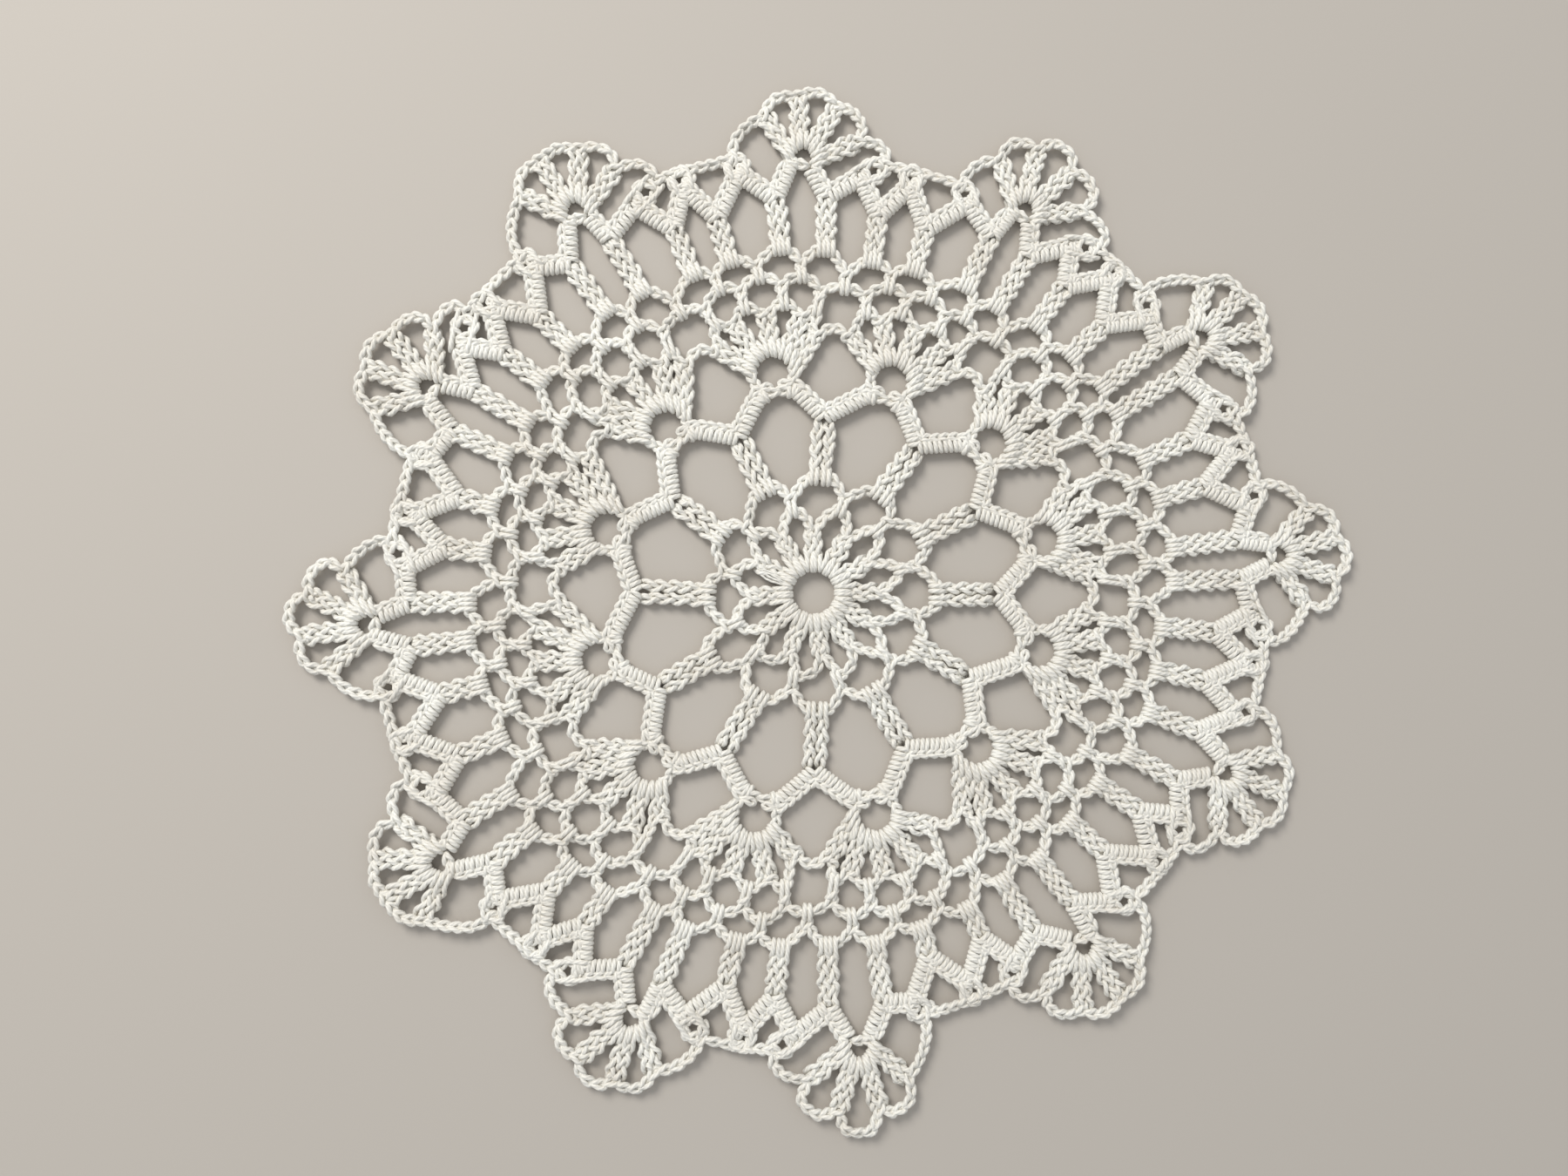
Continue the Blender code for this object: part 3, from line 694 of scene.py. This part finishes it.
def swept(points, thick):
    """The corners, faces and texture places of a tube of this thickness along these points."""
    heading = np.gradient(points, axis=0)
    heading /= np.maximum(np.linalg.norm(heading, axis=1, keepdims=True), 1e-9)
    normal = np.cross(heading[0], (0.0, 0.0, 1.0))
    if np.linalg.norm(normal) < 0.1:
        normal = np.cross(heading[0], (1.0, 0.0, 0.0))
    normals = [normal / np.linalg.norm(normal)]
    for tangent in heading[1:]:
        normal = normals[-1] - tangent * tangent.dot(normals[-1])
        normals.append(normal / np.linalg.norm(normal))
    normals = np.array(normals)
    others = np.cross(heading, normals)
    angles = 2 * math.pi * np.arange(THREAD_SIDES) / THREAD_SIDES
    ring = normals[:, None] * np.cos(angles)[:, None] + others[:, None] * np.sin(angles)[:, None]
    corners = (points[:, None] + ring * thick / 2).reshape(-1, 3)
    count = len(points)
    rows = np.arange(count - 1)[:, None] * THREAD_SIDES
    here = np.arange(THREAD_SIDES)[None]
    after = (here + 1) % THREAD_SIDES
    beyond = rows + THREAD_SIDES
    quads = np.stack([rows + here, rows + after, beyond + after, beyond + here], axis=2)
    along = distances(points) / TWIST_PITCH_MM
    around = np.broadcast_to(here / THREAD_SIDES, (count - 1, THREAD_SIDES))
    near = np.broadcast_to(along[:-1, None], around.shape)
    far = np.broadcast_to(along[1:, None], around.shape)
    step = 1 / THREAD_SIDES
    places = np.stack([
        np.stack([near, around], axis=2), np.stack([near, around + step], axis=2),
        np.stack([far, around + step], axis=2), np.stack([far, around], axis=2),
    ], axis=2)
    return corners, quads.reshape(-1, 4), places.reshape(-1, 4, 2)


def worked(name, strands, bend, middle, material, plies=()):
    """One piece made of these strands of thread, and of these single plies of it."""
    corner_list, quad_list, place_list, cap_list = [], [], [], []
    offset = 0
    for strand, thick in [(strand, THREAD_MM) for strand in strands] + [(ply, PLY_MM) for ply in plies]:
        line = bend_steps(rounded(strand), bend)
        line[:, 2] = np.maximum(line[:, 2] + MIDDLE_UP_MM + lift(line), thick / 2)
        line[:, :2] -= middle
        corners, quads, places = swept(line, thick)
        corner_list.append(corners)
        quad_list.append(quads + offset)
        place_list.append(places)
        last = offset + len(corners)
        cap_list.append(np.arange(offset + THREAD_SIDES - 1, offset - 1, -1))
        cap_list.append(np.arange(last - THREAD_SIDES, last))
        offset = last
    corners = np.concatenate(corner_list) * MM
    quads = np.concatenate(quad_list)
    caps = np.array(cap_list)
    mesh = bpy.data.meshes.new(name)
    mesh.vertices.add(len(corners))
    mesh.vertices.foreach_set("co", corners.ravel())
    loops = np.concatenate([quads.ravel(), caps.ravel()])
    mesh.loops.add(len(loops))
    mesh.loops.foreach_set("vertex_index", loops)
    sizes = np.concatenate([np.full(len(quads), 4), np.full(len(caps), THREAD_SIDES)])
    mesh.polygons.add(len(sizes))
    mesh.polygons.foreach_set("loop_start", np.concatenate([[0], np.cumsum(sizes)[:-1]]))
    mesh.polygons.foreach_set("use_smooth", np.ones(len(sizes), bool))
    layer = mesh.uv_layers.new(name="thread")
    flat = np.zeros((len(loops), 2))
    flat[: quads.size] = np.concatenate(place_list).reshape(-1, 2)
    layer.data.foreach_set("uv", flat.ravel())
    mesh.update(calc_edges=True)
    mesh.validate()
    mesh.materials.append(material)
    piece = bpy.data.objects.new(name, mesh)
    bpy.context.scene.collection.objects.link(piece)
    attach(piece, "root")
    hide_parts("doily")
    return piece


def cotton():
    """Off-white cotton thread: three plies twisted together, with fine fibres, and painted shade darkening
    the base colour in the grooves between the plies.
    """
    material = bpy.data.materials.new("cotton_thread")
    material.use_nodes = True
    nodes, links = material.node_tree.nodes, material.node_tree.links
    shader = nodes["Principled BSDF"]

    def math_node(operation, first, second):
        node = nodes.new("ShaderNodeMath")
        node.operation = operation
        for socket, value in zip(node.inputs, (first, second)):
            if isinstance(value, (int, float)):
                socket.default_value = value
            else:
                links.new(value, socket)
        return node.outputs[0]

    places = nodes.new("ShaderNodeUVMap")
    places.uv_map = "thread"
    split = nodes.new("ShaderNodeSeparateXYZ")
    links.new(places.outputs["UV"], split.inputs[0])
    turns = math_node("ADD", split.outputs["X"], math_node("MULTIPLY", split.outputs["Y"], PLIES))
    wave = math_node("SINE", math_node("MULTIPLY", turns, 2 * math.pi), 0.0)

    coords = nodes.new("ShaderNodeTexCoord")
    fibres = nodes.new("ShaderNodeTexNoise")
    fibres.inputs["Scale"].default_value = 5200.0
    fibres.inputs["Detail"].default_value = 2.0
    links.new(coords.outputs["Object"], fibres.inputs["Vector"])
    patches = nodes.new("ShaderNodeTexNoise")
    patches.inputs["Scale"].default_value = 160.0
    patches.inputs["Detail"].default_value = 3.0
    links.new(coords.outputs["Object"], patches.inputs["Vector"])

    tone = nodes.new("ShaderNodeValToRGB")
    tone.color_ramp.elements[0].position = 0.3
    tone.color_ramp.elements[0].color = (0.76, 0.72, 0.64, 1.0)
    tone.color_ramp.elements[1].position = 0.7
    tone.color_ramp.elements[1].color = (0.88, 0.86, 0.79, 1.0)
    links.new(patches.outputs["Fac"], tone.inputs["Fac"])
    speckle = math_node("MULTIPLY", math_node("SUBTRACT", fibres.outputs["Fac"], 0.5), 0.16)
    # The twist wave darkens the base colour in the grooves between the plies: painted shade. The fibre
    # speckle added to it is the thread's own random tone.
    painted_groove_shade_and_fibre_speckle = math_node("ADD", math_node("ADD", math_node("MULTIPLY", wave, 0.08), 0.94), speckle)
    mix = nodes.new("ShaderNodeMix")
    mix.data_type = "RGBA"
    mix.blend_type = "MULTIPLY"
    mix.inputs["Factor"].default_value = 1.0
    links.new(tone.outputs["Color"], mix.inputs["A"])
    links.new(painted_groove_shade_and_fibre_speckle, mix.inputs["B"])
    links.new(mix.outputs["Result"], shader.inputs["Base Color"])

    grain = math_node("MULTIPLY", fibres.outputs["Fac"], 0.8)
    height = math_node("ADD", math_node("MULTIPLY", wave, 0.6), grain)
    bump = nodes.new("ShaderNodeBump")
    bump.inputs["Strength"].default_value = 0.85
    bump.inputs["Distance"].default_value = 0.00006
    links.new(height, bump.inputs["Height"])
    links.new(bump.outputs["Normal"], shader.inputs["Normal"])
    shader.inputs["Roughness"].default_value = 0.62
    shader.inputs["Sheen Weight"].default_value = 0.25
    shader.inputs["Sheen Roughness"].default_value = 0.4
    return material


def floor():
    """A plain pale surface under the doily."""
    bpy.ops.mesh.primitive_plane_add(size=4.0, location=(0.0, 0.0, 0.0))
    surface = bpy.context.object
    surface.name = "floor"
    material = bpy.data.materials.new("floor")
    material.use_nodes = True
    shader = material.node_tree.nodes["Principled BSDF"]
    shader.inputs["Base Color"].default_value = (0.47, 0.43, 0.38, 1.0)
    shader.inputs["Roughness"].default_value = 0.7
    surface.data.materials.append(material)


CAMERA_MM = (-15.4, -5.35, 180.6)
CAMERA_TILT_DEG = (1.98, -3.05)
LENS_MM = 27.0
SENSOR_MM = 36.0


def camera(middle):
    """The photograph's view: from above, a little tipped."""
    data = bpy.data.cameras.new("camera")
    data.lens = LENS_MM
    data.sensor_width = SENSOR_MM
    data.sensor_fit = "HORIZONTAL"
    data.clip_start = 0.01
    view = bpy.data.objects.new("camera", data)
    bpy.context.scene.collection.objects.link(view)
    tip, turn = (math.radians(angle) for angle in CAMERA_TILT_DEG)
    place_mm = Vector((CAMERA_MM[0] - middle[0], CAMERA_MM[1] - middle[1], CAMERA_MM[2]))
    turned = Matrix.Rotation(tip, 4, "X") @ Matrix.Rotation(turn, 4, "Y")
    view.matrix_world = Matrix.Translation(place_mm * MM) @ turned
    bpy.context.scene.camera = view


def light():
    """A large soft lamp from the upper left, and a pale surround."""
    lamp = bpy.data.lights.new("lamp", "AREA")
    lamp.shape = "DISK"
    lamp.size = 0.35
    lamp.energy = 4.7
    lamp.color = (1.0, 0.98, 0.95)
    holder = bpy.data.objects.new("lamp", lamp)
    bpy.context.scene.collection.objects.link(holder)
    holder.location = (-0.35, 0.45, 0.55)
    holder.rotation_euler = (-holder.location).to_track_quat("-Z", "Y").to_euler()
    world = bpy.data.worlds.new("surround")
    bpy.context.scene.world = world
    world.use_nodes = True
    background = world.node_tree.nodes["Background"]
    background.inputs["Color"].default_value = (0.93, 0.96, 1.0, 1.0)
    background.inputs["Strength"].default_value = 0.65
    bpy.context.scene.view_settings.view_transform = "Standard"


def edge_middle():
    """The middle of the box round the outer line, which the frame has as its origin."""
    points = []
    for number in range(REPEATS):
        for loop in range(3):
            points += fan_loop(number, loop)
        points += [fan_tip(number, 0), fan_tip(number, 3)]
    points = np.array(points)
    return (points.min(axis=0) + points.max(axis=0)) / 2


# Each round, with its depth and outer radius in mm as it would lie flat, and the bend of its thread, in
# degrees, from one step of its mesh to the next.
ROUNDS = (
    ("rings_and_cords", ring_round, 13.0, 38.0, 50.0),
    ("shells", shell_round, 15.0, 47.5, 50.0),
    ("net", net_rounds, 13.5, 56.0, 50.0),
    ("bars", bar_round, 14.0, 64.0, 50.0),
    ("arches", arch_round, 15.0, 71.0, 72.0),
    ("fans", fan_round, 16.0, 82.0, 50.0),
)
CENTRE_BEND_DEG = 50.0


def main():
    middle = edge_middle()
    camera(middle)
    light()
    floor()
    material = cotton()
    rng = np.random.default_rng(7)
    centre = worked("centre", centre_rounds(rng), CENTRE_BEND_DEG, middle, material, plies=LOOSE_PLIES_MM)
    for name, build, depth, radius, bend in ROUNDS:
        piece = worked(name, build(rng), bend, middle, material)


main()
